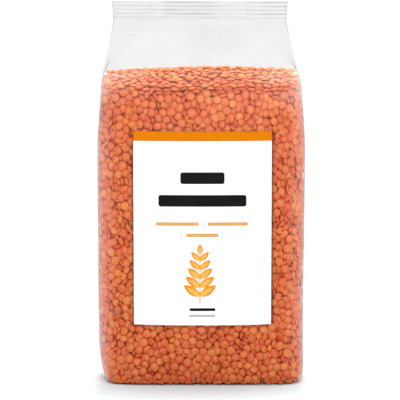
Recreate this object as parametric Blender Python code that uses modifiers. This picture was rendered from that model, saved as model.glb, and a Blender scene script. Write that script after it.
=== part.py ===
"""A clear side-gusset bag of red lentils with a label on its front panel.

The bag stands on its flat base. Units are metres, +Z is up, the front faces -Y, and
the origin is the middle of the footprint, on the floor.
"""

import math

import bpy
import numpy as np

# Whole bag
HEIGHT = 0.1993
SEAL_HEIGHT = 0.0088
SEAL_FOOT = HEIGHT - SEAL_HEIGHT

# Flat pattern of the film: half the front panel, and half a folded side gusset
PANEL_HALF = 0.0453
GUSSET_HALF = 0.0207

# Half widths at heights, to the left and to the right of the middle plane
LEFT_EDGE = (
    (0.0000, 0.0493), (0.0040, 0.0514), (0.0100, 0.0529), (0.0200, 0.0545),
    (0.0450, 0.0551), (0.1200, 0.0551), (0.1430, 0.0538), (0.1560, 0.0524),
    (0.1640, 0.0504), (0.1860, 0.0461), (0.1900, 0.0457), (HEIGHT, 0.0464),
)
RIGHT_EDGE = (
    (0.0000, 0.0510), (0.0015, 0.0530), (0.0040, 0.0539), (0.0100, 0.0545),
    (0.0450, 0.0547), (0.1200, 0.0551), (0.1430, 0.0539), (0.1560, 0.0522),
    (0.1640, 0.0492), (0.1860, 0.0446), (0.1900, 0.0441), (HEIGHT, 0.0449),
)

# Half depths at heights, from the base to the flat seal
SEAL_HALF_THICK = 0.0004
HALF_DEPTH = (
    (0.0000, 0.0188), (0.0008, 0.0197), (0.0024, 0.0204), (0.0100, 0.0211),
    (0.0450, 0.0218), (0.1100, 0.0214), (0.1450, 0.0206), (0.1560, 0.0196),
    (0.1640, 0.0160), (0.1880, 0.0023), (SEAL_FOOT, 0.0009),
    (SEAL_FOOT + 0.0005, SEAL_HALF_THICK), (HEIGHT, SEAL_HALF_THICK),
)

# Cross-sections: superellipses that are boxy at the base and rounder in the body
ROUNDNESS = ((0.0, 6.0), (0.0060, 4.4), (0.0200, 2.8), (0.0380, 2.4), (HEIGHT, 2.4))
GUSSET_CREASE = 0.0004

# Head: the gussets fold in between nearly flat panels
HEAD_STARTS = 0.1460
HEAD_DONE = 0.1690
HEAD_CORNER_DEPTH = 0.82
GUSSET_BREAKS = 0.1635
GUSSET_CLOSES = 0.1885

# Crimped seal: ridges across the bag, and a gentle wave along it
CRIMP_PITCH = 0.00198
CRIMP_DEPTH = 0.0003
WAVE_STARTS = 0.1650
SEAL_WAVE = 0.0007
SEAL_WAVE_LENGTH = 0.105

# Seam down the middle of the back panel
SEAM_HALF_WIDTH = 0.0055
SEAM_EDGE = 0.0004
SEAM_PROUD = 0.0005

# Label on the front panel
LABEL_LEFT = -0.0349
LABEL_RIGHT = 0.0363
LABEL_BOTTOM = 0.0324
LABEL_TOP = 0.1328
LABEL_GAP = 0.00035
LABEL_THICK = 0.0003

# Mesh density
PANEL_STEPS = 7
GUSSET_STEPS = 5
LABEL_COLUMNS = 24
LABEL_ROWS = 14
CRIMP_RINGS = 4


def smooth_step(low, high, value):
    """Rise from 0 at low to 1 at high with level ends."""
    t = np.clip((value - low) / (high - low), 0.0, 1.0)
    return t * t * (3.0 - 2.0 * t)


def read_profile(stations, z):
    """Monotone cubic curve through (height, size) stations."""
    heights, sizes = np.array(stations).T
    steps = np.diff(heights)
    slopes = np.diff(sizes) / steps
    tangents = np.zeros(len(heights))
    tangents[0], tangents[-1] = slopes[0], slopes[-1]
    for i in range(1, len(heights) - 1):
        before, after = slopes[i - 1], slopes[i]
        if before * after > 0.0:
            tangents[i] = 2.0 * before * after / (before + after)
    k = min(max(int(np.searchsorted(heights, z)) - 1, 0), len(steps) - 1)
    t = (z - heights[k]) / steps[k]
    rise = sizes[k] * (1 + 2 * t) * (1 - t) ** 2 + sizes[k + 1] * t * t * (3 - 2 * t)
    turn = tangents[k] * t * (1 - t) ** 2 - tangents[k + 1] * t * t * (1 - t)
    return float(rise + steps[k] * turn)


def quarter_positions():
    """Positions along the film from the front middle to the gusset's middle fold."""
    seam_foot = SEAM_HALF_WIDTH + SEAM_EDGE
    panel = np.linspace(seam_foot, PANEL_HALF, PANEL_STEPS + 1)
    gusset = PANEL_HALF + np.linspace(0.0, GUSSET_HALF, GUSSET_STEPS + 1)[1:]
    return np.concatenate([[0.0, SEAM_HALF_WIDTH], panel, gusset])


def body_quarter(positions, half_depth, half_width, z):
    """Quarter of a superellipse, read at equal shares of its length."""
    angle = np.linspace(0.0, math.pi / 2.0, 400)
    power = 2.0 / read_profile(ROUNDNESS, z)
    x = half_width * np.sin(angle) ** power
    y = half_depth * np.cos(angle) ** power
    length = np.concatenate([[0.0], np.cumsum(np.hypot(np.diff(x), np.diff(y)))])
    wanted = positions / positions[-1] * length[-1]
    x, y = np.interp(wanted, length, x), np.interp(wanted, length, y)
    near_fold = np.clip(1.0 - (positions[-1] - positions) / 0.006, 0.0, 1.0)
    return x - GUSSET_CREASE * near_fold, y


def head_quarter(positions, half_depth, half_width, z):
    """Quarter of the head: a nearly flat panel, and a gusset folded inwards.

    The gusset's middle fold runs straight from the side of the filled body to the
    inner end of the four-layer stretch at the seal's foot, where the seal closes it.
    """
    panel_share = np.clip(positions / PANEL_HALF, 0.0, 1.0)
    gusset_share = np.clip((positions - PANEL_HALF) / GUSSET_HALF, 0.0, 1.0)
    climb = max(z - GUSSET_BREAKS, 0.0) / (SEAL_FOOT - GUSSET_BREAKS)
    closing = smooth_step(GUSSET_CLOSES, SEAL_FOOT, z)
    notch = GUSSET_HALF * climb * (1.0 - closing)
    x = half_width * panel_share - notch * gusset_share
    y = half_depth * (1.0 - (1.0 - HEAD_CORNER_DEPTH) * panel_share ** 2)
    return x, y * (1.0 - gusset_share)


def quarter(half_width, z):
    """Quarter of the cross-section, from the front middle to the gusset's middle."""
    positions = quarter_positions()
    half_depth = read_profile(HALF_DEPTH, z)
    head_share = smooth_step(HEAD_STARTS, HEAD_DONE, z)
    body_x, body_y = body_quarter(positions, half_depth, half_width, z)
    head_x, head_y = head_quarter(positions, half_depth, half_width, z)
    x = body_x + (head_x - body_x) * head_share
    y = body_y + (head_y - body_y) * head_share
    return x, y


def ring(z):
    """Closed cross-section of the bag at height z, anticlockwise from the front middle."""
    right_x, right_y = quarter(read_profile(RIGHT_EDGE, z), z)
    left_x, left_y = quarter(read_profile(LEFT_EDGE, z), z)
    front_right = np.column_stack([right_x, -right_y])
    back_right = np.column_stack([right_x, right_y])[:-1][::-1]
    back_left = np.column_stack([-left_x, left_y])[1:]
    front_left = np.column_stack([-left_x, -left_y])[1:-1][::-1]
    outline = np.vstack([front_right, back_right, back_left, front_left])
    outline[:, 1] += seam_height(outline)
    outline[:, 1] += seal_shift(outline[:, 0], z)
    return np.column_stack([outline, np.full(len(outline), z)])


def seam_height(outline):
    """Extra depth of the folded seam that runs down the back panel."""
    on_back = outline[:, 1] > 0.0
    on_seam = np.abs(outline[:, 0]) < SEAM_HALF_WIDTH + SEAM_EDGE / 2.0
    return np.where(on_back & on_seam, SEAM_PROUD, 0.0)


def seal_shift(x, z):
    """Depth shift of the crimp ridges and of the wave that runs along the seal."""
    wave = SEAL_WAVE * np.sin(2.0 * math.pi * x / SEAL_WAVE_LENGTH + 0.6)
    shift = wave * smooth_step(WAVE_STARTS, SEAL_FOOT, z)
    if z > SEAL_FOOT:
        phase = 2.0 * math.pi * (z - SEAL_FOOT) / CRIMP_PITCH
        shift = shift + CRIMP_DEPTH * math.sin(phase)
    return shift


def ring_heights():
    """Heights of the cross-sections: close at the base, the shoulder and the seal."""
    base = [0.0, 0.0004, 0.0010, 0.0020, 0.0036, 0.0060, 0.0100, 0.0150, 0.0220]
    body = np.linspace(0.032, 0.137, 12)
    head = np.linspace(HEAD_STARTS, SEAL_FOOT, 17)
    step = CRIMP_PITCH / CRIMP_RINGS
    seal = np.arange(SEAL_FOOT + step, HEIGHT - step / 2.0, step)
    return [float(z) for z in (*base, *body, *head, *seal, HEIGHT)]


def skin_rings(rings):
    """Faces between neighbouring rings of points, closed by a flat cap at each end."""
    count = len(rings[0])
    faces = []
    for level in range(len(rings) - 1):
        low = level * count
        for i in range(count):
            j = (i + 1) % count
            faces.append((low + i, low + j, low + count + j, low + count + i))
    faces.append(tuple(reversed(range(count))))
    faces.append(tuple(range((len(rings) - 1) * count, len(rings) * count)))
    return faces


def finish(name, color, roughness):
    """Principled material of one sub-part."""
    material = bpy.data.materials.new(name)
    material.use_nodes = True
    shader = material.node_tree.nodes["Principled BSDF"]
    shader.inputs["Base Color"].default_value = (*color, 1.0)
    shader.inputs["Roughness"].default_value = roughness
    shader.inputs["Metallic"].default_value = 0.0
    return material


def add_object(name, points, faces, collection, material):
    """New mesh object in the part's collection, shaded smooth between sharp folds."""
    mesh = bpy.data.meshes.new(name)
    mesh.from_pydata([tuple(float(c) for c in point) for point in points], [], faces)
    mesh.materials.append(material)
    mesh.shade_smooth()
    mesh.set_sharp_from_angle(angle=math.radians(35.0))
    thing = bpy.data.objects.new(name, mesh)
    collection.objects.link(thing)
    return thing


def make_bag(collection):
    """Filled bag as one solid: rounded base, full body, folded head and crimped seal."""
    rings = [ring(z) for z in ring_heights()]
    look = finish("bag_fill", (0.83, 0.20, 0.09), 0.35)
    add_object("bag", np.vstack(rings), skin_rings(rings), collection, look)


def front_depth(x, z):
    """Depth of the front panel's outside at one point."""
    section = ring(z)
    front = section[section[:, 1] < 0.0]
    front = front[np.argsort(front[:, 0])]
    on_panel = front[np.abs(front[:, 0]) < PANEL_HALF]
    return float(np.interp(x, on_panel[:, 0], on_panel[:, 1]))


def make_label(collection):
    """Label sheet that follows the front panel, a hair clear of it."""
    across = np.linspace(LABEL_LEFT, LABEL_RIGHT, LABEL_COLUMNS + 1)
    upward = np.linspace(LABEL_BOTTOM, LABEL_TOP, LABEL_ROWS + 1)
    points = [(x, front_depth(x, z) - LABEL_GAP, z) for z in upward for x in across]
    row = LABEL_COLUMNS + 1
    faces = []
    for r in range(LABEL_ROWS):
        for c in range(LABEL_COLUMNS):
            low = r * row + c
            faces.append((low, low + 1, low + row + 1, low + row))
    look = finish("label_paper", (0.93, 0.93, 0.92), 0.45)
    label = add_object("label", points, faces, collection, look)
    thickness = label.modifiers.new("paper", "SOLIDIFY")
    thickness.thickness = LABEL_THICK
    thickness.offset = 1.0


def main():
    """Empty the scene and build the two sub-parts."""
    for thing in list(bpy.data.objects):
        bpy.data.objects.remove(thing, do_unlink=True)
    collection = bpy.data.collections.new("bag_of_lentils")
    bpy.context.scene.collection.children.link(collection)
    make_bag(collection)
    make_label(collection)


main()
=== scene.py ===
import math

import bpy
import numpy as np
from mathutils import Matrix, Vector
from mathutils.bvhtree import BVHTree


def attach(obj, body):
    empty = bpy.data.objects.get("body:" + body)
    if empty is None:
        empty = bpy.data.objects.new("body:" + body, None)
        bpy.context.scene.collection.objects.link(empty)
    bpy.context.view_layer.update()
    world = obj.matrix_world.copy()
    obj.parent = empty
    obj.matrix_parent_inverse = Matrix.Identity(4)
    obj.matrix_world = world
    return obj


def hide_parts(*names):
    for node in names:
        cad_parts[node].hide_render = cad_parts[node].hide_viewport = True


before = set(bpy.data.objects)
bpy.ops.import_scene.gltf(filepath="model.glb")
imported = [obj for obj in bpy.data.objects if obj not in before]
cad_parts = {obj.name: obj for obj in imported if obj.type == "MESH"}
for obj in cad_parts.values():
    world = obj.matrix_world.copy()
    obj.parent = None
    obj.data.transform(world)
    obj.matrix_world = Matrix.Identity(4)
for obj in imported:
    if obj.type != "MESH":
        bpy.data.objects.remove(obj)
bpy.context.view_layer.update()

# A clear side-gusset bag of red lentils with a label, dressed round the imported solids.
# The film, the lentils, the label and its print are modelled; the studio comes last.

# Form of the bag, in metres; a profile lists heights and the half width or depth there
HEIGHT = 0.1993
SEAL_HEIGHT = 0.0088
SEAL_FOOT = HEIGHT - SEAL_HEIGHT
PANEL_HALF = 0.0453
GUSSET_HALF = 0.0207
LEFT_EDGE = (
    (0.0000, 0.0493), (0.0040, 0.0516), (0.0100, 0.0532), (0.0200, 0.0546),
    (0.0450, 0.0551), (0.1200, 0.0551), (0.1430, 0.0538), (0.1560, 0.0525),
    (0.1640, 0.0508), (0.1860, 0.0462), (0.1900, 0.0457), (HEIGHT, 0.0464),
)
RIGHT_EDGE = (
    (0.0000, 0.0510), (0.0015, 0.0530), (0.0040, 0.0539), (0.0100, 0.0545),
    (0.0450, 0.0547), (0.1200, 0.0551), (0.1430, 0.0540), (0.1560, 0.0525),
    (0.1640, 0.0502), (0.1860, 0.0449), (0.1900, 0.0443), (HEIGHT, 0.0450),
)
SEAL_HALF_THICK = 0.0004
HALF_DEPTH = (
    (0.0000, 0.0188), (0.0008, 0.0197), (0.0024, 0.0204), (0.0100, 0.0211),
    (0.0450, 0.0218), (0.1100, 0.0214), (0.1450, 0.0206), (0.1560, 0.0196),
    (0.1640, 0.0160), (0.1880, 0.0023), (SEAL_FOOT, 0.0009),
    (SEAL_FOOT + 0.0005, SEAL_HALF_THICK), (HEIGHT, SEAL_HALF_THICK),
)
ROUNDNESS = ((0.0, 6.0), (0.0060, 4.4), (0.0200, 2.8), (0.0380, 2.4), (HEIGHT, 2.4))
GUSSET_CREASE = 0.0004
CREASE_REACH = 0.006
HEAD_STARTS = 0.1460
HEAD_DONE = 0.1690
HEAD_CORNER_DEPTH = 0.82
GUSSET_BREAKS = 0.1635
CRIMP_PITCH = 0.00198
CRIMP_DEPTH = 0.0003
CRIMP_DEEPENS = (-0.022, -0.018)
CRIMP_SLIPS = (0.021, 0.026)
WAVE_STARTS = 0.1650
SEAL_WAVE = 0.0007
SEAL_WAVE_LENGTH = 0.105
LABEL_LEFT = -0.0349
LABEL_RIGHT = 0.0363
LABEL_BOTTOM = 0.0324
LABEL_TOP = 0.1328
LABEL_BACK = 0.00037
LABEL_FRONT = 0.00059

# Film mesh, and how far it is drawn in between the lentils
PANEL_STEPS = 42
GUSSET_STEPS = 17
FOLD_RADIUS = 0.0004
BASE_RINGS = 10
BASE_INSETS = (0.08, 0.94)
BASE_RISE = 0.00055
FOOT_HEIGHTS = [0.0, 0.0002, 0.0005, 0.0009, 0.0015, 0.0023, 0.0033, 0.0044]
BODY_FOOT = 0.0055
SAG_LIMIT = 0.00034
SAG_GAP = 0.00004
SAG_TOP = 0.162
SEAM_COLUMNS = 5

# Top of the heap: a ridge across the bag that bows to its sides and falls to the panels
CREST_TOP = 0.1661
CREST_BOW = 0.0026
CREST_X = 0.006
CREST_REACH = 0.056
CREST_Y = 0.008
CREST_ROUND = 0.0040
FRONT_SLOPE = 0.40
REAR_SLOPE = 0.50

# Lentils
LENTIL_RADIUS = 0.00242
LENTIL_ASPECT = 0.44
SIZE_SPREAD = 0.085
SIZE_LIMITS = (0.80, 1.16)
ASKEW_SHARE = 0.07
SPLIT_SHARE = 0.10
SPLIT_FACE = 0.15
HULL_SHARE = 0.004
FACE_HEIGHTS = (0.90, 1.0)
DOME_POWER = 0.76
OVAL = (0.93, 1.04)
TINTS = 0.85
# Painted light: lentils lying on top of the heap, more so to its rear, are made paler where light from
# above falls
TOP_PAINTED_LIGHT = 0.52
REAR_PAINTED_LIGHT = 0.22
BIT_TINT = 0.8
FILL_SHELL = 0.0061
FILL_SHARE = 0.84
BITS = 420
BIT_RADIUS = 0.0009
BIT_LIMIT = 1.01 * BIT_RADIUS
BODY_HALF_WIDE = 0.055
BODY_HALF_DEEP = 0.0215
CORE_INSET = FILL_SHELL - 0.0016
CORE_TOP = 0.1500
CORE_RINGS = 24

# Packing
GRID_STEP = 0.0020
GRID_LOW = np.array([-0.0600, -0.0260, -0.0040])
GRID_SIZE = (61, 27, 90)
GRID_FILM_TOP = 0.176
TRIALS = 400000
SPARE_SIZES = 40000
BIT_TRIALS = 90000
BIT_BOX = ((-0.056, -0.022, 0.0), (0.056, 0.022, 0.0011))
BIT_DEPTH = 0.0016
START_SIZE = 0.55
GROWTH = 0.45
CLOSENESS = 0.92
PAIR_REACH = 2.3
PAIRS_EVERY = 8
STAGGER = 0.0012
LEVELLING = 0.7
SINK = 0.00001
BASE_GAP = 0.0001
SIDE_LIMIT = 0.0545
LYING_DEPTH = 0.0046
LYING_WIDTH = (0.0515, 0.0495)
FILM_GAP = 0.00006
SETTLE_STEPS = 280
GROW_STEPS = 140
CHI = (LENTIL_ASPECT ** 2 - 1.0) / (LENTIL_ASPECT ** 2 + 1.0)
TURN_EASE = 1.0 / LENTIL_RADIUS ** 2

# How far the axes stray at random from the way they face, and how the lying ones face
STRAY = 0.52
SIDE_STRAY = 0.70
UPWARD_STRAY = 0.18
ASKEW_STRAY = 2.5
LYING_STRAY = (0.05, 0.10, 0.0)
LYING_WAY = (0.0, -0.10, 1.0)
LEVEL_ROW = (0.0085, 0.0045)

# Look of the film: shares of light, painted shade, and a painted sheen, pale haze laid where its
# reflections show
FILM_DIM = 0.110
CLOUDING = 0.012
# Painted shade on the film beside the label's upright edges
LABEL_SHADE = 0.34
# Painted shade: the film passes less light along the crimp's valleys
VALLEY_PAINTED_SHADE = 0.22
FOLD_FADE = 0.91
FILM_GLOSS = 0.010
SIDE_PAINTED_SHEEN = 0.072
BODY_PAINTED_SHEEN = 0.010
TOP_PAINTED_SHEEN = 0.016
CORNER_PAINTED_SHEEN = 0.050
CREST_PAINTED_SHEEN = 0.09

# Print on the label
BAND_FOOT = 0.1279
TINY_CORNER = 0.0001
DIVIDER_HALF = 0.00017
STEM_X = -0.0006
PRINT_LIFT = LABEL_FRONT + 0.00003
HEART_LIFT = PRINT_LIFT + 0.00002

# Studio
WORLD_LIGHT = 0.57
FLOOR_SHOWS = 1.06
FLOOR_HALF = 30.0
CAMERA_PITCH = math.radians(6.3)
CAMERA_DISTANCE = 0.85
CAMERA_TARGET = Vector((-0.0006, 0.0, 0.09525))
LENS = 145.05
SENSOR = 36.0

rng = np.random.default_rng(11)


def smooth_step(low, high, value):
    """Rise from 0 at low to 1 at high with level ends."""
    t = np.clip((value - low) / (high - low), 0.0, 1.0)
    return t * t * (3.0 - 2.0 * t)


def read_profile(stations, z):
    """Monotone cubic curve through (height, size) stations."""
    heights, sizes = np.array(stations).T
    steps = np.diff(heights)
    slopes = np.diff(sizes) / steps
    tangents = np.zeros(len(heights))
    tangents[0], tangents[-1] = slopes[0], slopes[-1]
    for i in range(1, len(heights) - 1):
        before, after = slopes[i - 1], slopes[i]
        if before * after > 0.0:
            tangents[i] = 2.0 * before * after / (before + after)
    k = min(max(int(np.searchsorted(heights, z)) - 1, 0), len(steps) - 1)
    t = (z - heights[k]) / steps[k]
    rise = sizes[k] * (1 + 2 * t) * (1 - t) ** 2 + sizes[k + 1] * t * t * (3 - 2 * t)
    turn = tangents[k] * t * (1 - t) ** 2 - tangents[k + 1] * t * t * (1 - t)
    return rise + steps[k] * turn


def unit(vectors):
    """Vectors scaled to length 1."""
    return vectors / np.linalg.norm(vectors, axis=-1, keepdims=True)


# Form of the film

def film_positions():
    """Positions along the film from the front middle to the gusset's middle fold."""
    panel = np.linspace(0.0, PANEL_HALF - FOLD_RADIUS, PANEL_STEPS + 1)
    gusset = PANEL_HALF + np.linspace(FOLD_RADIUS, GUSSET_HALF, GUSSET_STEPS + 1)
    return np.concatenate([panel, [PANEL_HALF], gusset])


def body_quarter(positions, half_depth, half_width, z):
    """Quarter of a superellipse, read at equal shares of its length."""
    angle = np.linspace(0.0, math.pi / 2.0, 400)
    power = 2.0 / read_profile(ROUNDNESS, z)
    x = half_width * np.sin(angle) ** power
    y = half_depth * np.cos(angle) ** power
    length = np.concatenate([[0.0], np.cumsum(np.hypot(np.diff(x), np.diff(y)))])
    wanted = positions / positions[-1] * length[-1]
    x, y = np.interp(wanted, length, x), np.interp(wanted, length, y)
    near_fold = np.clip(1.0 - (positions[-1] - positions) / CREASE_REACH, 0.0, 1.0)
    return x - GUSSET_CREASE * near_fold, y


def head_quarter(positions, half_depth, half_width, z):
    """Quarter of the head: a nearly flat panel, and a gusset folded in up to the seal."""
    panel_share = np.clip(positions / PANEL_HALF, 0.0, 1.0)
    gusset_share = np.clip((positions - PANEL_HALF) / GUSSET_HALF, 0.0, 1.0)
    climb = min(max(z - GUSSET_BREAKS, 0.0) / (SEAL_FOOT - GUSSET_BREAKS), 1.0)
    x = half_width * panel_share - GUSSET_HALF * climb * gusset_share
    y = half_depth * (1.0 - (1.0 - HEAD_CORNER_DEPTH) * panel_share ** 2)
    return x, y * (1.0 - gusset_share)


def quarter(positions, half_width, z):
    """Quarter of the cross-section, from the front middle to the gusset's middle."""
    half_depth = read_profile(HALF_DEPTH, z)
    head_share = smooth_step(HEAD_STARTS, HEAD_DONE, z)
    body_x, body_y = body_quarter(positions, half_depth, half_width, z)
    head_x, head_y = head_quarter(positions, half_depth, half_width, z)
    return body_x + (head_x - body_x) * head_share, body_y + (head_y - body_y) * head_share


def crimp(x, z):
    """Ridges and valleys of the crimped seal, from 1 to -1 where they are deepest."""
    deep = 0.62 + 0.38 * smooth_step(*CRIMP_DEEPENS, x) * smooth_step(0.008, 0.004, x)
    slip = math.pi * smooth_step(*CRIMP_SLIPS, x)
    phase = 2.0 * math.pi * (z - SEAL_FOOT) / CRIMP_PITCH + slip
    return deep * smooth_step(SEAL_FOOT, SEAL_FOOT + 0.0006, z) * np.sin(phase)


def crimp_painted_shade(x, z):
    """Strength of the thin dark lines of painted shade along the crimped seal's valleys."""
    slant = 0.0042 * (x + 0.040)
    phase = 2.0 * math.pi * (z - SEAL_FOOT + slant) / CRIMP_PITCH
    uneven = 0.72 + 0.28 * np.sin(150.0 * x + 2.3 * np.round(phase / (2.0 * math.pi)))
    deep = 0.40 + 0.60 * smooth_step(*CRIMP_DEEPENS, x) * smooth_step(0.012, 0.006, x)
    deep = np.maximum(deep, 0.75 * smooth_step(0.026, 0.034, x)) * uneven
    line = np.clip(np.sin(phase), 0.0, 1.0) ** 3
    return deep * smooth_step(SEAL_FOOT, SEAL_FOOT + 0.0003, z) * line


def seal_shift(x, z):
    """Depth shift of the crimp ridges and of the wave that runs along the seal."""
    wave = SEAL_WAVE * np.sin(2.0 * math.pi * x / SEAL_WAVE_LENGTH + 0.6)
    return wave * smooth_step(WAVE_STARTS, SEAL_FOOT, z) + CRIMP_DEPTH * crimp(x, z)


def ring(positions, z):
    """Closed cross-section of the film at height z, anticlockwise from the front middle."""
    right = np.column_stack(quarter(positions, read_profile(RIGHT_EDGE, z), z))
    left = np.column_stack(quarter(positions, read_profile(LEFT_EDGE, z), z))
    front_right, back_right = right * (1.0, -1.0), right[:-1][::-1]
    back_left, front_left = left[1:] * (-1.0, 1.0), -left[1:-1][::-1]
    outline = np.vstack([front_right, back_right, back_left, front_left])
    outline[:, 1] += seal_shift(outline[:, 0], z)
    return np.column_stack([outline, np.full(len(outline), z)])


def film_heights():
    """Heights of the film's rings: close at the base and in the crimped seal."""
    body = np.linspace(BODY_FOOT, HEAD_STARTS, 128)
    head = np.linspace(HEAD_STARTS, SEAL_FOOT, 50)[1:]
    seal = np.linspace(SEAL_FOOT, HEIGHT, 45)[1:]
    return np.concatenate([FOOT_HEIGHTS, body, head, seal])


def base_rings(rim):
    """Rings that close the base, drawn in towards its middle line and hardly raised."""
    rings = []
    for inset in np.linspace(*BASE_INSETS, BASE_RINGS):
        raised = BASE_RISE * smooth_step(0.0, 0.5, inset)
        rings.append(rim * (1.0 - 0.30 * inset, 1.0 - inset, 0.0) + (0.0, 0.0, raised))
    return rings[::-1]


def film_rings():
    """Points of the film as (ring, column), from the middle of the base to the top edge."""
    positions = film_positions()
    walls = [ring(positions, z) for z in film_heights()]
    return np.array(base_rings(walls[0]) + walls)


# Mesh making

def loft_faces(rows, columns):
    """Quads between neighbouring closed rings."""
    index = np.arange(rows * columns).reshape(rows, columns)
    after = np.roll(index, -1, 1)
    return np.stack([index[:-1], after[:-1], after[1:], index[1:]], -1).reshape(-1, 4)


def grid_faces(rows, columns):
    """Quads of an open grid of points."""
    return loft_faces(rows, columns).reshape(rows - 1, columns, 4)[:, :-1].reshape(-1, 4)


def loft_normals(rings):
    """Outward normals at the points of a loft."""
    along = np.roll(rings, -1, 1) - np.roll(rings, 1, 1)
    normals = np.cross(along, np.gradient(rings, axis=0))
    size = np.linalg.norm(normals, axis=-1, keepdims=True)
    return normals / np.maximum(size, 1e-12)


def new_object(name, data):
    """New object in the scene."""
    thing = bpy.data.objects.new(name, data)
    bpy.context.scene.collection.objects.link(thing)
    return thing


def new_mesh(name, points, faces):
    """New smooth mesh object from arrays of points and faces of equal side count."""
    points = np.asarray(points, np.float32)
    faces = np.asarray(faces, np.int32)
    mesh = bpy.data.meshes.new(name)
    mesh.vertices.add(len(points))
    mesh.vertices.foreach_set("co", points.ravel())
    mesh.loops.add(faces.size)
    mesh.loops.foreach_set("vertex_index", faces.ravel())
    mesh.polygons.add(len(faces))
    mesh.polygons.foreach_set("loop_start", np.arange(len(faces)) * faces.shape[1])
    mesh.polygons.foreach_set("use_smooth", np.ones(len(faces), bool))
    mesh.update(calc_edges=True)
    mesh.validate()
    return new_object(name, mesh)


def add_attribute(thing, name, values):
    """Point attribute that the materials read."""
    layer = thing.data.attributes.new(name, "FLOAT", "POINT")
    layer.data.foreach_set("value", np.asarray(values, np.float32).ravel())


# Space for the lentils: distance to the film and to the heap's top

def film_distance_grid(film_points):
    """Distance inside the film, and the way in, on a grid of points."""
    coarse = film_points[film_points[:, 0, 2] < GRID_FILM_TOP][::2, ::2]
    faces = loft_faces(*coarse.shape[:2]).tolist()
    faces.append(list(range(coarse.shape[1]))[::-1])
    tree = BVHTree.FromPolygons(coarse.reshape(-1, 3).tolist(), faces)
    axes = [GRID_LOW[k] + GRID_STEP * np.arange(GRID_SIZE[k]) for k in range(3)]
    grid = np.stack(np.meshgrid(*axes, indexing="ij"), -1).reshape(-1, 3)
    distance = np.empty(len(grid))
    for k, point in enumerate(grid):
        near, normal, _, reach = tree.find_nearest(point)
        inside = (near - Vector(point)).dot(normal) > 0.0
        distance[k] = reach if inside else -reach
    distance = distance.reshape(GRID_SIZE)
    slope = np.stack(np.gradient(distance, GRID_STEP), -1)
    return np.concatenate([distance[..., None], slope], -1)


def read_grid(grid, points):
    """Trilinear reading of the grid at points: distance inside the film, and the way in."""
    place = (points - GRID_LOW) / GRID_STEP
    place = np.clip(place, 0.0, np.array(GRID_SIZE) - 1.001)
    cell = place.astype(int)
    share = place - cell
    total = 0.0
    for corner in range(8):
        step = np.array([corner & 1, corner >> 1 & 1, corner >> 2 & 1])
        weight = np.prod(np.where(step, share, 1.0 - share), axis=1)
        i, j, k = (cell + step).T
        total = total + grid[i, j, k] * weight[:, None]
    return total[:, 0], unit(total[:, 1:])


def crest_height(x):
    """Height of the heap's ridge at x."""
    return CREST_TOP - CREST_BOW * ((x - CREST_X) / CREST_REACH) ** 2


def heap_top(points):
    """Distance below the heap's top, and the way in."""
    x, y, z = points.T
    away = y - CREST_Y
    fall = np.where(away < 0.0, FRONT_SLOPE, REAR_SLOPE)
    reach = np.hypot(away, CREST_ROUND)
    top = crest_height(x) - fall * (reach - CREST_ROUND)
    slope_y = -fall * away / reach
    slope_x = -2.0 * CREST_BOW * (x - CREST_X) / CREST_REACH ** 2
    steep = np.sqrt(1.0 + slope_x ** 2 + slope_y ** 2)
    inward = np.column_stack([slope_x, slope_y, -np.ones(len(x))]) / steep[:, None]
    return (top - z) / steep, inward


def nearest_wall(points, grid):
    """Distance to the film or the heap's top, the way in, and whether the top is nearer."""
    film_depth, film_in = read_grid(grid, points)
    top_depth, top_in = heap_top(points)
    nearer = top_depth < film_depth
    depth = np.where(nearer, top_depth, film_depth)
    inward = np.where(nearer[:, None], top_in, film_in)
    return depth, inward, nearer


def lies_flat(points):
    """1 for lentils that lie flat on top of the heap, 0 for those that lean on the film."""
    shallow = smooth_step(1.5 * LYING_DEPTH, 0.5 * LYING_DEPTH, heap_top(points)[0])
    return shallow * smooth_step(*LYING_WIDTH, np.abs(points[:, 0]))


# Packing of the lentils

def near_pairs(points, reach):
    """Index pairs of points that lie closer than reach."""
    cell = ((points - points.min(0)) / reach).astype(np.int64) + 1
    span = cell.max(0) + 2
    key = (cell[:, 0] * span[1] + cell[:, 1]) * span[2] + cell[:, 2]
    order = np.argsort(key, kind="stable")
    key = key[order]
    pairs = []
    for dx, dy, dz in np.ndindex(3, 3, 3):
        jump = ((dx - 1) * span[1] + dy - 1) * span[2] + dz - 1
        if jump < 0:
            continue
        first = np.searchsorted(key, key + jump)
        count = np.searchsorted(key, key + jump, "right") - first
        i = np.repeat(np.arange(len(key)), count)
        j = np.arange(count.sum()) - np.repeat(np.cumsum(count) - count, count)
        j = j + np.repeat(first, count)
        keep = j > i if jump == 0 else slice(None)
        pairs.append(np.column_stack([order[i[keep]], order[j[keep]]]))
    pairs = np.concatenate(pairs)
    apart = points[pairs[:, 1]] - points[pairs[:, 0]]
    return pairs[dots(apart, apart) < reach * reach]


def dots(first, second):
    """Scalar product of each pair of vectors."""
    return np.einsum("ij,ij->i", first, second)


def pick(mask, *arrays):
    """The rows of each array that a mask marks."""
    return [values[mask] for values in arrays]


def sum_parts(index, vectors, count):
    """Sum of the vectors that share an index."""
    return np.stack([np.bincount(index, vectors[:, k], count) for k in range(3)], -1)


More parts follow.
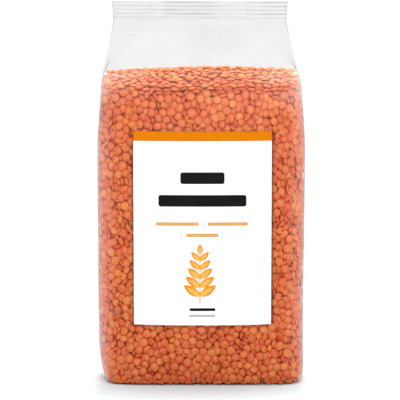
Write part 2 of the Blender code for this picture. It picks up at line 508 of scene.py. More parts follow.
def contact_moves(points, axes, sizes, pairs):
    """Moves and turns that part each overlapping pair of lenses, summed for each lentil."""
    i, j = pairs.T
    apart = points[j] - points[i]
    gap = np.sqrt(dots(apart, apart)) + 1e-9
    close = gap < (sizes[i] + sizes[j])
    i, j, apart, gap = pick(close, i, j, apart, gap)
    way = apart / gap[:, None]
    u, v = axes[i], axes[j]
    along_u, along_v = dots(way, u), dots(way, v)
    alike = CHI * dots(u, v)
    plus, minus = along_u + along_v, along_u - along_v
    p, m = 1.0 / (1.0 + alike), 1.0 / (1.0 - alike)
    q = 1.0 - 0.5 * CHI * (plus * plus * p + minus * minus * m)
    reach = (sizes[i] + sizes[j]) / np.sqrt(q)
    hit = reach > gap
    i, j, way, u, v, gap, reach = pick(hit, i, j, way, u, v, gap, reach)
    plus, minus, p, m, q = pick(hit, plus, minus, p, m, q)
    scale = 0.25 * CHI * reach / q
    cross = CHI * (minus * minus * m * m - plus * plus * p * p)
    plus, minus = 2.0 * plus * p, 2.0 * minus * m
    turn_u = scale[:, None] * ((plus + minus)[:, None] * way + cross[:, None] * v)
    turn_v = scale[:, None] * ((plus - minus)[:, None] * way + cross[:, None] * u)
    turn_u -= dots(turn_u, u)[:, None] * u
    turn_v -= dots(turn_v, v)[:, None] * v
    slide = scale[:, None] * (plus[:, None] * (u + v) + minus[:, None] * (u - v))
    slide -= dots(slide, way)[:, None] * way
    push = way - slide / gap[:, None]
    weight = 2.0 * dots(push, push) + TURN_EASE * dots(turn_u, turn_u)
    weight += TURN_EASE * dots(turn_v, turn_v)
    share = ((reach - gap) / weight)[:, None]
    moves = share * push
    turn_u *= -TURN_EASE * share
    turn_v *= -TURN_EASE * share
    n = len(points)
    touching = np.bincount(i, minlength=n) + np.bincount(j, minlength=n)
    move = sum_parts(i, -moves, n) + sum_parts(j, moves, n)
    turn = sum_parts(i, turn_u, n) + sum_parts(j, turn_v, n)
    ease = (1.5 / np.maximum(touching, 1.5))[:, None]
    return move * ease, turn * ease


def wall_push(points, axes, sizes, depth, inward, gap, ease):
    """Keep each lentil inside a wall, flattening it against the wall as it is pressed."""
    lean = dots(axes, inward)
    thick = sizes * LENTIL_ASPECT
    reach = np.sqrt(sizes ** 2 * (1.0 - lean ** 2) + (thick * lean) ** 2)
    press = np.maximum(reach + gap - depth, 0.0)[:, None]
    tilt = ((thick ** 2 - sizes ** 2) * lean / reach)[:, None] * inward
    tilt -= dots(tilt, axes)[:, None] * axes
    weight = 1.0 + TURN_EASE * dots(tilt, tilt)[:, None]
    turned = axes - ease * TURN_EASE * tilt * press / weight
    return points + inward * press, unit(turned)


def shell_push(points, depth, inward, sizes):
    """Keep each lentil in the shell that shows, out of the heap's hidden middle."""
    extra = np.maximum(depth + 0.6 * sizes - FILL_SHELL, 0.0)[:, None]
    return points - inward * extra


def reach_along(axes, radii, k):
    """Half of what each lentil takes up along direction k as it lies."""
    return 1.04 * radii * np.sqrt(1.0 - (1.0 - LENTIL_ASPECT ** 2) * axes[:, k] ** 2)


def scatter_bits(grid):
    """First places of the broken bits that lie in the corner round the base."""
    trial = rng.uniform(*BIT_BOX, (BIT_TRIALS, 3))
    depth, inward = read_grid(grid, trial)
    corner = (depth > 0.0) & (depth < BIT_DEPTH) & (np.abs(inward[:, 2]) < 0.9)
    chosen = np.flatnonzero(corner)[:BITS]
    return trial[chosen], inward[chosen]


def scatter_start(grid):
    """First places, axes and radii of the lentils, spread through the shell."""
    extent = GRID_STEP * (np.array(GRID_SIZE) - 1)
    trial = rng.uniform(GRID_LOW, GRID_LOW + extent, (TRIALS, 3))
    depth, inward, _ = nearest_wall(trial, grid)
    keep = (depth > 0.0) & (depth < FILL_SHELL)
    room = keep.mean() * np.prod(extent)
    radii = LENTIL_RADIUS * np.clip(rng.normal(1.0, SIZE_SPREAD, SPARE_SIZES), *SIZE_LIMITS)
    volume = 4.0 / 3.0 * math.pi * LENTIL_ASPECT * np.mean(radii ** 3)
    count = int(FILL_SHARE * room / volume)
    chosen = np.flatnonzero(keep)[:count]
    bits, bits_inward = scatter_bits(grid)
    points = np.vstack([trial[chosen], bits])
    radii = np.concatenate([radii[:count], rng.uniform(0.6, 1.0, len(bits)) * BIT_RADIUS])
    return points, first_axes(points, np.vstack([inward[chosen], bits_inward])), radii


def first_axes(points, inward):
    """Axes that face the film, but rise on top of the heap and lie level in the lowest row."""
    count = len(points)
    lying = lies_flat(points) > 0.5
    aside = STRAY + SIDE_STRAY * smooth_step(0.040, 0.051, np.abs(points[:, 0]))
    spread = np.column_stack([aside, aside, np.full(count, UPWARD_STRAY)])
    spread[rng.random(count) < ASKEW_SHARE] = ASKEW_STRAY
    spread[lying] = LYING_STRAY
    facing = np.where(lying[:, None], LYING_WAY, inward)
    near_base = smooth_step(*LEVEL_ROW, points[:, 2:])
    level = np.where(np.abs(points[:, :1]) > 0.047, (1.0, 0.0, 0.0), (0.0, 1.0, 0.0))
    facing = facing + (level - facing) * near_base
    return unit(facing + spread * rng.normal(0.0, 1.0, (count, 3)))


def settle(grid):
    """Grow the lentils to size while contacts and walls push them into place."""
    points, axes, radii = scatter_start(grid)
    for step in range(SETTLE_STEPS):
        size = radii * (START_SIZE + GROWTH * min(step / GROW_STEPS, 1.0))
        if step % PAIRS_EVERY == 0:
            pairs = near_pairs(points, PAIR_REACH * radii.max())
        move, turn = contact_moves(points, axes, CLOSENESS * size, pairs)
        points = points + move
        points[:, 2] -= SINK * lies_flat(points)
        axes = unit(axes + turn)
        film_depth, film_in = read_grid(grid, points)
        top_depth, top_in = heap_top(points)
        ease = 0.5 * (1.0 - lies_flat(points)[:, None])
        ease = ease * (1.0 - np.maximum(film_in[:, 2:], 0.0) ** 2)
        points, axes = wall_push(points, axes, size, film_depth, film_in, FILM_GAP, ease)
        points, axes = wall_push(points, axes, size, top_depth, top_in, 0.0, 0.0)
        depth, inward, _ = nearest_wall(points, grid)
        points = shell_push(points, depth, inward, size)
    return loosen(points, axes, radii, grid)


def loosen(points, axes, radii, grid):
    """Uneven depths, level lentils on top, and room above the floor and at the sides."""
    _, inward, _ = nearest_wall(points, grid)
    flat = lies_flat(points)
    stagger = STAGGER * rng.random(len(points)) ** 1.5 * (1.0 - 0.8 * flat)
    points = points + inward * stagger[:, None]
    level = LEVELLING * flat * np.sign(axes[:, 2])
    axes = unit(axes + level[:, None] * np.array([0.0, 0.0, 1.0]))
    points[:, 2] = np.maximum(points[:, 2], reach_along(axes, radii, 2) + BASE_GAP)
    side_room = SIDE_LIMIT - reach_along(axes, radii, 0)
    points[:, 0] = np.clip(points[:, 0], -side_room, side_room)
    return points, axes, radii


# Lentil meshes

def lens_template(segments, ring_radii):
    """Unit lens with domed faces and a rounded edge: its points and triangles."""
    angle = 2.0 * math.pi * np.arange(segments) / segments
    circle = np.column_stack([np.cos(angle), np.sin(angle), np.ones(segments)])
    levels = [(radius, 1.0) for radius in ring_radii] + [(1.0, 0.0)]
    levels += [(radius, -1.0) for radius in reversed(ring_radii)]
    rings = [circle * (radius, radius, side * (1.0 - radius ** 2) ** DOME_POWER) for radius, side in levels]
    points = np.vstack([[[0.0, 0.0, 1.0]], *rings, [[0.0, 0.0, -1.0]]])
    faces = []
    last = len(points) - 1
    for i in range(segments):
        j = (i + 1) % segments
        faces.append((0, 1 + i, 1 + j))
        for k in range(len(rings) - 1):
            a, b = 1 + k * segments, 1 + (k + 1) * segments
            faces.append((a + i, b + i, b + j))
            faces.append((a + i, b + j, a + j))
        faces.append((last, last - segments + j, last - segments + i))
    return points, np.array(faces)


def lentil_frames(axes):
    """Two directions across each axis, turned at random about it."""
    helper = np.where(np.abs(axes[:, 2:3]) < 0.9, (0.0, 0.0, 1.0), (1.0, 0.0, 0.0))
    first = unit(np.cross(axes, helper))
    second = np.cross(axes, first)
    spin = rng.uniform(0.0, 2.0 * math.pi, (len(axes), 1))
    across = np.cos(spin) * first + np.sin(spin) * second
    return across, np.cross(axes, across)


def lentil_heap(name, points, axes, radii, traits, template):
    """One mesh of many lentils, each with its own size, face shapes and colour value, which holds painted
    light for those on top.
    """
    shape, triangles = template
    across, along = lentil_frames(axes)
    n = len(points)
    x, y, z = shape.T[:, None, :, None]
    oval = rng.uniform(*OVAL, (n, 1, 1))
    height = np.where(z > 0.0, traits["upper"][:, None, None], traits["lower"][:, None, None])
    cloud = x * oval * across[:, None] + y / oval * along[:, None]
    cloud += z * height * LENTIL_ASPECT * axes[:, None]
    cloud = points[:, None] + cloud * radii[:, None, None]
    faces = triangles[None] + np.arange(n)[:, None, None] * len(shape)
    thing = new_mesh(name, cloud.reshape(-1, 3), faces.reshape(-1, 3))
    add_attribute(thing, "rim", np.tile(np.hypot(shape[:, 0], shape[:, 1]), n))
    for trait in ("tint", "hull"):
        add_attribute(thing, trait, np.repeat(traits[trait], len(shape)))
    return thing


def lentil_traits(points, radii):
    """Tints, made paler on top and to its rear by painted light, hulls, and face heights, low on split
    halves.
    """
    count = len(points)
    split = rng.random(count) < SPLIT_SHARE
    tint = rng.random(count)
    hull = (rng.random(count) < HULL_SHARE).astype(float)
    upper = rng.uniform(*FACE_HEIGHTS, count)
    lower = np.where(split, SPLIT_FACE, rng.uniform(*FACE_HEIGHTS, count))
    flat = lies_flat(points)
    # Painted light: paler tints for lentils lying on top, more so to the rear
    tint = TINTS * tint * (1.0 - 0.4 * flat) + TOP_PAINTED_LIGHT * flat
    tint += REAR_PAINTED_LIGHT * flat * smooth_step(-0.008, 0.004, points[:, 1])
    tint[radii < BIT_LIMIT] *= BIT_TINT
    thin = 1.0 - 0.05 * flat
    return {"tint": tint, "hull": hull, "upper": upper * thin, "lower": lower * thin}


def make_lentils(points, axes, radii, grid):
    """The heap as one piece for each side: fine lentils that show, plainer ones within."""
    depth, _, on_top = nearest_wall(points, grid)
    traits = lentil_traits(points, radii)
    bit = radii < BIT_LIMIT
    outer = (depth < 1.25 * LENTIL_RADIUS) & ~bit
    x, y, _ = np.abs(points.T)
    aside = x / BODY_HALF_WIDE > y / BODY_HALF_DEEP * 0.9 + 0.25
    front = points[:, 1] < 0.0
    panel = outer & ~on_top & ~aside
    inner = ~outer & ~bit
    fine = lens_template(12, (0.52, 0.84))
    plain = lens_template(8, (0.66,))
    regions = {
        "lentils_top": (outer & on_top, fine),
        "lentils_sides": (outer & ~on_top & aside, fine),
        "lentils_front": (panel & front, fine),
        "lentils_back": (panel & ~front, fine),
        "lentils_inner_front": (inner & front, plain),
        "lentils_inner_back": (inner & ~front, plain),
        "lentil_bits": (bit, plain),
    }
    pieces = []
    for name, (chosen, template) in regions.items():
        own = {key: values[chosen] for key, values in traits.items()}
        pieces.append(lentil_heap(name, *pick(chosen, points, axes, radii), own, template))
    return pieces


def make_core():
    """Closed form behind the lentils that show."""
    positions = film_positions()[::3]
    rings = []
    for z in np.linspace(CORE_INSET, CORE_TOP, CORE_RINGS):
        outline = ring(positions, z)
        wide, deep = np.abs(outline[:, 0]).max(), np.abs(outline[:, 1]).max()
        outline[:, 0] *= 1.0 - 0.75 * CORE_INSET / wide
        outline[:, 1] *= 1.0 - CORE_INSET / deep
        rings.append(outline)
    for share in (0.75, 0.4, 0.05):
        top = rings[CORE_RINGS - 1].copy()
        top[:, 1] *= share
        top[:, 2] = CORE_TOP + 0.0085 * (1.0 - share)
        rings.append(top)
    bottom = rings[0].copy()
    bottom[:, :2] *= 0.02
    rings = np.array([bottom] + rings)
    return new_mesh("lentil_core", rings.reshape(-1, 3), loft_faces(len(rings), rings.shape[1]))


# Film and seam

def drape(film_points, lentils):
    """Draw the film in between the lentils that it touches, a third of a millimetre at most."""
    graph = bpy.context.evaluated_depsgraph_get()
    outer = [piece for piece in lentils if "inner" not in piece.name and "bits" not in piece.name]
    trees = [BVHTree.FromObject(piece, graph) for piece in outer]
    normals = loft_normals(film_points)
    height = film_points[:, 0, 2]
    gap = np.zeros(film_points.shape[:2])
    for k in range(BASE_RINGS, len(film_points)):
        if height[k] > SAG_TOP:
            break
        for c in range(film_points.shape[1]):
            start = Vector(film_points[k, c])
            way = Vector(-normals[k, c])
            reach = SAG_LIMIT
            for tree in trees:
                hit = tree.ray_cast(start, way, reach)
                if hit[0] is not None:
                    reach = min(reach, hit[3])
            gap[k, c] = max(reach - SAG_GAP, 0.0)
    sag = gap.copy()
    for _ in range(3):
        around = np.roll(sag, 1, 0) + np.roll(sag, -1, 0) + np.roll(sag, 1, 1) + np.roll(sag, -1, 1)
        sag = np.minimum(0.5 * sag + 0.125 * around, gap)
    fade = smooth_step(0.0, 0.004, height) * smooth_step(0.160, 0.150, height)
    return film_points - normals * (sag * fade[:, None])[..., None]


def film_folds(x, height):
    """Share by which the film hardly shows: in the head's gussets and along their edges."""
    inner = film_positions() > PANEL_HALF + FOLD_RADIUS / 2.0
    gussets = np.concatenate([inner, inner[-2::-1], inner[1:], inner[-2:0:-1]])
    reach = np.where(x < 0.0, -x.min(1, keepdims=True), x.max(1, keepdims=True))
    from_edge = reach - np.abs(x)
    folded = gussets * smooth_step(0.152, 0.162, height) * smooth_step(0.0002, 0.0009, from_edge)
    edge = 0.5 * smooth_step(0.0009, 0.0002, from_edge) * smooth_step(0.158, 0.168, height)
    return np.maximum(folded, edge)


def film_painted_sheen(x, y, height):
    """Painted sheen, a pale haze laid where the film's reflections show: at the sides, and on the front
    over the heap's top.
    """
    aside = smooth_step(0.044, 0.051, np.abs(x)) * (0.3 + 0.7 * smooth_step(0.001, 0.006, np.abs(y)))
    aside = aside * np.where(x > 0.0, 0.70 + 0.5 * smooth_step(0.125, 0.142, height), 1.0)
    start = np.where(x > 0.0, 0.138, 0.144)
    top = crest_height(x) - 0.0003
    below_top = smooth_step(top, top - 0.0014, height)
    high = smooth_step(start, start + 0.012, height) * below_top
    crest = smooth_step(0.156, 0.161, height) * below_top
    wide = smooth_step(0.020, 0.048, np.abs(x))
    front = (TOP_PAINTED_SHEEN + CORNER_PAINTED_SHEEN * wide + 0.03 * aside) * high + CREST_PAINTED_SHEEN * wide * crest
    front += BODY_PAINTED_SHEEN * smooth_step(0.040, 0.150, height) * below_top
    return SIDE_PAINTED_SHEEN * aside * smooth_step(0.165, 0.158, height) + front * (y < 0.0)


def label_shade(x, y, height):
    """Thin shade painted on the film beside the label's upright edges."""
    away = np.where(x > 0.0, np.abs(x - LABEL_RIGHT), 1.5 * np.abs(x - LABEL_LEFT))
    beside = smooth_step(0.0021, 0.0003, away) * (y < 0.0)
    return beside * (height > LABEL_BOTTOM) * (height < LABEL_TOP)


def make_film(film_points):
    """The clear film as one sheet, open at the top edge, with its base closed."""
    film = new_mesh("film", film_points.reshape(-1, 3), loft_faces(*film_points.shape[:2]))
    x, y, height = np.moveaxis(film_points, -1, 0)
    folded = film_folds(x, height)
    add_attribute(film, "folded", np.maximum(folded, smooth_step(0.0030, 0.0010, height)))
    # Painted shade along the crimp's valleys
    add_attribute(film, "valley", crimp_painted_shade(x, height) * (1.0 - folded))
    # Painted sheen where the film's reflections show
    add_attribute(film, "dust", film_painted_sheen(x, y, height))
    add_attribute(film, "beside_label", label_shade(x, y, height))
    return film


def make_seam(film_points):
    """Lap seam down the back: a flat folded strip of film with a free edge."""
    walls = film_points[BASE_RINGS:]
    middle = 2 * len(film_positions()) - 2
    columns = slice(middle - SEAM_COLUMNS, middle + SEAM_COLUMNS + 1)
    strip = walls[::2, columns]
    normals = loft_normals(walls)[::2, columns]
    z = strip[:, :, 2]
    across = np.linspace(-1.0, 1.0, strip.shape[1])[None, :]
    wave = 0.00008 * np.sin(z * 310.0 + 2.0 * across) + 0.00006 * np.sin(z * 790.0)
    lift = np.clip(0.00022 + 0.00020 * smooth_step(0.2, 1.0, across) + wave, 0.0001, 0.00044)
    lift = lift * smooth_step(HEIGHT, HEIGHT - 0.012, z) + 0.00006
    points = strip + normals * lift[..., None]
    points[:, :, 2] = np.clip(points[:, :, 2], 0.0001, HEIGHT)
    seam = new_mesh("back_seam", points.reshape(-1, 3), grid_faces(*points.shape[:2]))
    add_attribute(seam, "folded", 0.6 + 0.4 * smooth_step(0.160, 0.170, z))
    return seam


# Label and print

class Front:
    """Front panel's depth over x and z, read from the film's form."""

    def __init__(self):
        positions = film_positions()
        self.z = np.linspace(LABEL_BOTTOM - 0.004, LABEL_TOP + 0.004, 60)
        self.x = np.linspace(-0.044, 0.044, 90)
        rows = []
        for z in self.z:
            section = ring(positions, z)
            front = section[section[:, 1] < -1e-6]
            front = front[np.argsort(front[:, 0])]
            rows.append(np.interp(self.x, front[:, 0], front[:, 1]))
        self.y = np.array(rows)

    def place(self, x, z, lift):
        """Points on the front at x and z, lifted off the film towards the viewer."""
        u = np.clip((x - self.x[0]) / (self.x[1] - self.x[0]), 0, len(self.x) - 1.001)
        v = np.clip((z - self.z[0]) / (self.z[1] - self.z[0]), 0, len(self.z) - 1.001)
        i, j = u.astype(int), v.astype(int)
        a, b = u - i, v - j
        low = self.y[j, i] * (1 - a) + self.y[j, i + 1] * a
        high = self.y[j + 1, i] * (1 - a) + self.y[j + 1, i + 1] * a
        return np.stack([x, low * (1 - b) + high * b - lift, z], -1)


def make_label(front):
    """Label sheet with its thickness, following the front panel."""
    x = np.linspace(LABEL_LEFT, LABEL_RIGHT, 49)
    x, z = np.meshgrid(x, np.linspace(LABEL_BOTTOM, LABEL_TOP, 65))
    sheets = [front.place(x, z, lift).reshape(-1, 3) for lift in (LABEL_FRONT, LABEL_BACK)]
    faces = grid_faces(*x.shape)
    rim = label_rim(*x.shape)
    after = np.roll(rim, -1)
    edge = np.column_stack([rim + x.size, after + x.size, after, rim])
    faces = np.vstack([faces, faces[:, ::-1] + x.size, edge])
    label = new_mesh("label_sheet", np.vstack(sheets), faces)
    label.data.set_sharp_from_angle(angle=math.radians(40.0))
    return label


def label_rim(rows, columns):
    """Outline indices of an open grid, anticlockwise from the lower left."""
    index = np.arange(rows * columns).reshape(rows, columns)
    return np.concatenate([index[0], index[1:, -1], index[-1, -2::-1], index[-2:0:-1, 0]])


def bar(x0, x1, z0, z1, corner):
    """Bar with rounded corners, as a grid of x and z."""
    turn = np.linspace(0.0, math.pi / 2.0, 6)
    ends = corner * (1.0 - np.cos(turn))
    middle = np.linspace(x0 + corner, x1 - corner, max(3, int((x1 - x0) / 0.0016)))
    x = np.concatenate([x0 + ends[:-1], middle, (x1 - ends[:-1])[::-1]])
    inset = np.clip(np.maximum(x0 + corner - x, x - x1 + corner), 0.0, corner)
    cut = corner - np.sqrt(np.maximum(corner ** 2 - inset ** 2, 0.0))
    share = np.linspace(0.0, 1.0, 4)[:, None]
    z = (z0 + cut) + share * ((z1 - cut) - (z0 + cut))
    return np.broadcast_to(x, z.shape), z


def divider(x, z0, z1):
    """Thin upright line between two notes."""
    return bar(x - DIVIDER_HALF, x + DIVIDER_HALF, z0, z1, TINY_CORNER)


def leaf(x, z, length, width, angle):
    """Oval leaf with a pointed tip, from its foot outwards, as a grid of x and z."""
    s = 0.5 - 0.5 * np.cos(np.linspace(0.0, math.pi, 15))[None, :]
    t = np.linspace(-1.0, 1.0, 5)[:, None]
    half = 0.5 * width * np.sin(math.pi * s ** 0.85) ** 0.75
    along = s * length + 0.0 * t
    side = half * t
    c, d = math.cos(angle), math.sin(angle)
    return x + along * c - side * d, z + along * d + side * c


def sprig_leaves(wide, long):
    """Pairs of leaves along an upright stem, and one at its tip."""
    patches = []
    for k in range(5):
        z = 0.0478 + 0.0046 * k
        size = 1.0 - 0.09 * k
        for way in (1.0, -1.0):
            lean = math.pi / 2.0 - way * math.radians(56.0 - 3.0 * k)
            foot = 0.0002 * way + STEM_X
            patches.append(leaf(foot, z, 0.0098 * size * long, 0.0044 * size * wide, lean))
    patches.append(leaf(STEM_X, 0.0696, 0.0052 * long, 0.0030 * wide, math.pi / 2.0))
    return patches


def prints():
    """The printed pieces: two tones of ink, the height over the film, and the shapes."""
    yield "print_band", (0.65, 0.176, 0.001), (0.68, 0.190, 0.001), PRINT_LIFT, [
        bar(LABEL_LEFT, LABEL_RIGHT, BAND_FOOT, LABEL_TOP, TINY_CORNER),
    ]
    yield "print_titles", 0.006, 0.012, PRINT_LIFT, [
        bar(-0.0107, 0.0120, 0.1059, 0.1119, 0.0012),
        bar(-0.0220, 0.0233, 0.0942, 0.1002, 0.0012),
        bar(-0.0060, 0.0073, 0.0399, 0.0414, 0.0004),
    ]
    yield "print_notes", (0.62, 0.34, 0.10), (0.68, 0.39, 0.13), PRINT_LIFT, [
        bar(-0.0232, -0.0012, 0.0843, 0.0861, 0.0005),
        bar(0.0034, 0.0240, 0.0843, 0.0861, 0.0005),
        bar(-0.0078, 0.0089, 0.0785, 0.0803, 0.0005),
    ]
    yield "print_dividers", 0.42, 0.50, PRINT_LIFT, [
        *[divider(x, 0.0833, 0.0871) for x in (-0.0254, 0.0011, 0.0262)],
        *[divider(x, 0.0775, 0.0812) for x in (-0.0101, 0.0110)],
        bar(-0.0063, 0.0073, 0.0368, 0.0380, 0.0004),
    ]
    yield "print_sprig", (0.78, 0.25, 0.015), (0.84, 0.30, 0.025), PRINT_LIFT, [
        bar(-0.0009, -0.0003, 0.0440, 0.0705, 0.0002),
        *sprig_leaves(1.0, 1.0),
    ]
    yield "print_leaf_hearts", (0.90, 0.44, 0.07), (0.93, 0.50, 0.10), HEART_LIFT, [
        *sprig_leaves(0.55, 0.78),
    ]


def make_print(name, patches, front, lift):
    """Flat printed shapes that lie on the label."""
    points, faces, start = [], [], 0
    for x, z in patches:
        points.append(front.place(x, z, lift).reshape(-1, 3))
        faces.append(grid_faces(*x.shape) + start)
        start += x.size
    return new_mesh(name, np.vstack(points), np.vstack(faces))


# Materials

class Nodes:
    """Short hand for building the node tree of a material or a world."""

    def __init__(self, owner, output="ShaderNodeOutputMaterial"):
        self.owner = owner
        owner.use_nodes = True
        self.tree = owner.node_tree
        self.tree.nodes.clear()
        self.output = self.add(output)

    def add(self, kind, inputs=None, **settings):
        """New node with its settings, and its inputs by name or place."""
        node = self.tree.nodes.new(kind)
        for key, value in settings.items():
            setattr(node, key, value)
        for key, value in (inputs or {}).items():
            self.feed(node.inputs[key], value)
        return node

    def feed(self, socket, value):
        """Give an input socket a link, a colour or a number."""
        if isinstance(value, bpy.types.NodeSocket):
            self.tree.links.new(value, socket)
        elif isinstance(value, tuple):
            socket.default_value = (*value, 1.0)[:len(socket.default_value)]
        else:
            socket.default_value = value

    def finish(self, shader):
        """Use a shader as the surface."""
        self.feed(self.output.inputs["Surface"], shader)
        return self.owner

    def attribute(self, name):
        """Factor read from a point attribute."""
        return self.add("ShaderNodeAttribute", attribute_name=name).outputs["Fac"]

    def place(self):
        """Place on the object, in metres."""
        return self.add("ShaderNodeTexCoord").outputs["Object"]

    def noise(self, scale, detail=2.0):
        """Noise over the object, scale in waves to the metre."""
        inputs = {"Vector": self.place(), "Scale": scale, "Detail": detail}
        return self.add("ShaderNodeTexNoise", inputs).outputs["Fac"]

    def ramp(self, source, *stops):
        """Colours, or greys given as one number, at positions along a factor."""
        ramp = self.add("ShaderNodeValToRGB", {"Fac": source})
        elements = ramp.color_ramp.elements
        while len(elements) < len(stops):
            elements.new(0.5)
        for element, (position, color) in zip(elements, stops):
            element.position = position
            element.color = (*color, 1.0) if isinstance(color, tuple) else (color, color, color, 1.0)
        return ramp.outputs["Color"]

    def mix(self, kind, factor, first, second):
        """Blend of two colours."""
        inputs = {0: factor, 6: first, 7: second}
        return self.add("ShaderNodeMix", inputs, data_type="RGBA", blend_type=kind).outputs[2]

    def math(self, kind, first, second=0.0, clamp=False):
        """Arithmetic on numbers or sockets."""
        inputs = {0: first, 1: second}
        return self.add("ShaderNodeMath", inputs, operation=kind, use_clamp=clamp).outputs[0]

    def times(self, first, second):
        """Product of numbers or sockets."""
        return self.math("MULTIPLY", first, second)

    def blend(self, factor, first, second):
        """Mix of two shaders."""
        return self.add("ShaderNodeMixShader", {0: factor, 1: first, 2: second}).outputs[0]

    def bump(self, height, distance, strength):
        """Relief from a height factor, distance in metres."""
        inputs = {"Height": height, "Distance": distance, "Strength": strength}
        return self.add("ShaderNodeBump", inputs).outputs["Normal"]

    def principled(self, color, roughness, specular, extra=None):
        """Surface of one colour, with any other inputs of its shader."""
        inputs = {"Base Color": color, "Roughness": roughness, "Specular IOR Level": specular}
        shader = self.add("ShaderNodeBsdfPrincipled", {**inputs, **(extra or {})})
        return self.finish(shader.outputs[0])


def lentil_material():
    """Matte orange lentils: tints differ and are paler where light is painted on top, rims are painted
    darker as shade, and a few keep a dull hull.
    """
    n = Nodes(bpy.data.materials.new("lentil_skin"))
    body = n.ramp(
        n.attribute("tint"),
        (0.00, (0.80, 0.148, 0.023)), (0.30, (0.84, 0.192, 0.029)), (0.60, (0.87, 0.232, 0.035)),
        (0.85, (0.90, 0.290, 0.050)), (1.00, (0.93, 0.370, 0.085)),
    )
    mottled = n.mix("MULTIPLY", n.times(n.noise(900.0), 0.35), body, (0.95, 0.78, 0.64))
    # Painted shade: rims darker and redder, partly the lentil's own deeper edge, mostly shade that falls
    # between lentils
    rim = n.times(n.math("POWER", n.attribute("rim"), 4.0), 0.72)
    painted_rim_shade = n.mix("MULTIPLY", rim, mottled, (1.00, 0.53, 0.39))
    patch = n.ramp(n.noise(700.0), (0.42, 0.0), (0.55, 0.8))
    color = n.mix("MIX", n.times(n.attribute("hull"), patch), painted_rim_shade, (0.42, 0.24, 0.10))
    return n.principled(color, 0.42, 0.42, {
        "Subsurface Weight": 0.25,
        "Subsurface Radius": (1.0, 0.35, 0.12),
        "Subsurface Scale": 0.0012,
        "Normal": n.bump(n.noise(2600.0, 3.0), 0.00004, 0.5),
    })


def core_material():
    """Deep colour of the heap behind the lentils that show."""
    n = Nodes(bpy.data.materials.new("lentil_depths"))
    color = n.ramp(n.noise(240.0), (0.3, (0.72, 0.140, 0.026)), (0.7, (0.86, 0.200, 0.040)))
    return n.principled(color, 0.8, 0.1)


def film_clearness(n, plain):
    """Share of light that passes the film: less in the crimp's valleys and beside the label, where shade is
    painted.
    """
    # Painted shade: the crimp's valleys pass less light
    painted_valley_dim = n.times(n.attribute("valley"), VALLEY_PAINTED_SHADE)
    cloud = n.times(n.noise(38.0), CLOUDING)
    dim = n.math("ADD", painted_valley_dim, n.math("ADD", cloud, FILM_DIM - CLOUDING / 2.0))
    # Painted shade beside the label's upright edges
    dim = n.math("ADD", dim, n.times(n.attribute("beside_label"), LABEL_SHADE))
    clear = n.math("SUBTRACT", 1.0, n.times(plain, dim))
    return n.add("ShaderNodeCombineColor", {0: clear, 1: clear, 2: clear}).outputs[0]


def film_material():
    """Clear film: it dims what is behind it a little, mirrors at a slant, and carries a painted sheen where
    its reflections show.
    """
    n = Nodes(bpy.data.materials.new("clear_film"))
    plain = n.math("SUBTRACT", 1.0, n.times(n.attribute("folded"), FOLD_FADE))
    slant = n.add("ShaderNodeLayerWeight", {"Blend": 0.5}).outputs["Facing"]
    sheen = n.ramp(slant, (0.40, 0.96), (0.60, 0.60), (0.80, 0.45), (1.00, 0.45))
    through = n.add("ShaderNodeBsdfTransparent", {"Color": film_clearness(n, plain)})
    gloss = n.add("ShaderNodeBsdfGlossy", {"Color": sheen, "Roughness": 0.12})
    mirror = n.times(n.math("POWER", slant, 2.8), 1.0 - FILM_GLOSS)
    mirror = n.times(n.math("ADD", mirror, FILM_GLOSS), plain)
    clean = n.blend(mirror, through.outputs[0], gloss.outputs[0])
    # Painted sheen: a pale diffuse layer, lit like any surface, laid only where the film's reflections show
    dust = n.add("ShaderNodeBsdfDiffuse", {"Color": n.attribute("dust")})
    return n.finish(n.add("ShaderNodeAddShader", {0: clean, 1: dust.outputs[0]}).outputs[0])


def paper_material():
    """White label stock: smooth, with a faint grain."""
    n = Nodes(bpy.data.materials.new("label_stock"))
    color = n.ramp(n.noise(420.0, 4.0), (0.35, 0.925), (0.65, 0.955))
    return n.principled(color, 0.38, 0.4, {"Normal": n.bump(n.noise(1500.0, 3.0), 0.00001, 0.4)})


def ink_material(name, low, high):
    """Printed ink with a slight unevenness."""
    n = Nodes(bpy.data.materials.new(name))
    color = n.ramp(n.noise(320.0, 3.0), (0.3, low), (0.7, high))
    return n.principled(color, 0.60, 0.02)


def floor_material():
    """Pale studio floor with painted shade round the bag: deeper and a little cool close to it."""
    n = Nodes(bpy.data.materials.new("studio_floor"))
    split = n.add("ShaderNodeSeparateXYZ", {0: n.place()})
    square = 0.0
    for axis, half, weight in (("X", 0.050, 6.0), ("Y", 0.019, 1.0)):
        beyond = n.math("SUBTRACT", n.math("ABSOLUTE", split.outputs[axis]), half)
        beyond = n.times(n.math("MAXIMUM", beyond, 0.0), weight)
        square = n.math("ADD", n.times(beyond, beyond), square)
    away = n.math("MULTIPLY", n.math("SQRT", square), 5.0, clamp=True)
    # Painted contact shade, cool where deepest to offset the orange light the bag bounces onto it
    floor_painted_shade = n.ramp(
        away, (0.05, (0.680, 0.760, 0.774)), (0.10, (0.735, 0.795, 0.806)),
        (0.19, (0.828, 0.860, 0.867)), (0.33, (0.825, 0.833, 0.838)), (1.00, 0.880),
    )
    color = n.mix("MULTIPLY", n.times(n.noise(3.0), 0.5), floor_painted_shade, (0.99, 0.99, 0.99))
    return n.principled(color, 0.9, 0.0)


# Studio

def make_floor():
    """Pale floor, its material painted with shade round the bag."""
    corners = [(-1.0, -1.0, 0.0), (1.0, -1.0, 0.0), (1.0, 1.0, 0.0), (-1.0, 1.0, 0.0)]
    floor = new_mesh("studio_floor", FLOOR_HALF * np.array(corners), [(0, 1, 2, 3)])
    floor.data.materials.append(floor_material())


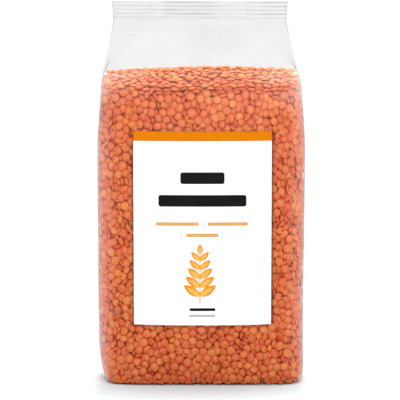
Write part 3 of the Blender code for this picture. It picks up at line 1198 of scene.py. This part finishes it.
def make_world():
    """White surroundings that light the bag evenly and look as pale as the floor."""
    n = Nodes(bpy.data.worlds.new("studio"), "ShaderNodeOutputWorld")
    white = {"Color": (1.0, 1.0, 1.0)}
    light = n.add("ShaderNodeBackground", {**white, "Strength": WORLD_LIGHT})
    shown = n.add("ShaderNodeBackground", {**white, "Strength": FLOOR_SHOWS})
    seen = n.add("ShaderNodeLightPath").outputs["Is Camera Ray"]
    bpy.context.scene.world = n.finish(n.blend(seen, light.outputs[0], shown.outputs[0]))


def add_lamp(name, kind, azimuth, elevation, distance, height, power, **settings):
    """Lamp that shines on the bag's middle line, at angles right of the front and upwards."""
    a, e = math.radians(azimuth), math.radians(elevation)
    way = Vector((math.sin(a) * math.cos(e), -math.cos(a) * math.cos(e), math.sin(e)))
    lamp = bpy.data.lights.new(name, kind)
    lamp.energy = power
    for key, value in settings.items():
        setattr(lamp, key, value)
    thing = new_object(name, lamp)
    thing.location = Vector((0.0, 0.0, height)) + distance * way
    thing.rotation_mode = "QUATERNION"
    thing.rotation_quaternion = way.to_track_quat("Z", "Y")
    return thing


def add_card(name, azimuth, distance, bottom, width, height, shine):
    """Upright white card that only shows as a soft reflection in the film."""
    middle = bottom + height / 2.0
    power = shine * math.pi * width * height
    sizes = {"shape": "RECTANGLE", "size": width, "size_y": height}
    card = add_lamp(name, "AREA", azimuth, 0.0, distance, middle, power, **sizes)
    card.visible_diffuse = False


def make_camera():
    """Camera at the photograph's angle: level with the bag's middle, looking slightly down."""
    camera = new_object("camera", bpy.data.cameras.new("camera"))
    camera.data.lens = LENS
    camera.data.sensor_width = SENSOR
    way = Vector((0.0, -math.cos(CAMERA_PITCH), math.sin(CAMERA_PITCH)))
    camera.location = CAMERA_TARGET + CAMERA_DISTANCE * way
    camera.rotation_euler = (math.pi / 2.0 - CAMERA_PITCH, 0.0, 0.0)
    bpy.context.scene.camera = camera


# Assembly

def dress(piece, material, slot, *nodes):
    """Give a piece its material and body, and hide the imported nodes it stands for; slot is not used."""
    piece.data.materials.append(material)
    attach(piece, "root")
    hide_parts(*nodes)


def build_bag():
    """Film and contents."""
    film_points = film_rings()
    grid = film_distance_grid(film_points)
    points, axes, radii = settle(grid)
    lentils = make_lentils(points, axes, radii, grid)
    skin = lentil_material()
    for piece in lentils:
        dress(piece, skin, "lentils", "bag")
    dress(make_core(), core_material(), "lentils", "bag")
    clear = film_material()
    dress(make_film(drape(film_points, lentils)), clear, "film", "bag")
    dress(make_seam(film_points), clear, "film", "bag")


def build_label():
    """Label sheet and its print."""
    front = Front()
    dress(make_label(front), paper_material(), "label", "label")
    for name, low, high, lift, patches in prints():
        dress(make_print(name, patches, front, lift), ink_material(name, low, high), "print", "label")


build_bag()
build_label()
make_floor()
make_world()
add_lamp("key_light", "AREA", 4.0, 46.0, 0.80, 0.1, 3.3, size=0.50)
add_lamp("back_light", "SUN", 170.0, 66.0, 1.0, 0.0, 2.3, angle=math.radians(60.0))
add_card("front_card", 0.0, 1.30, 0.05, 1.60, 0.70, 2.3)
add_card("left_card", -58.0, 0.55, 0.0, 0.34, 0.60, 0.9)
add_card("right_card", 58.0, 0.55, 0.0, 0.34, 0.60, 0.7)
make_camera()
bpy.context.scene.view_settings.view_transform = "Standard"
bpy.context.scene.cycles.diffuse_bounces = 8
bpy.context.scene.cycles.transparent_max_bounces = 24
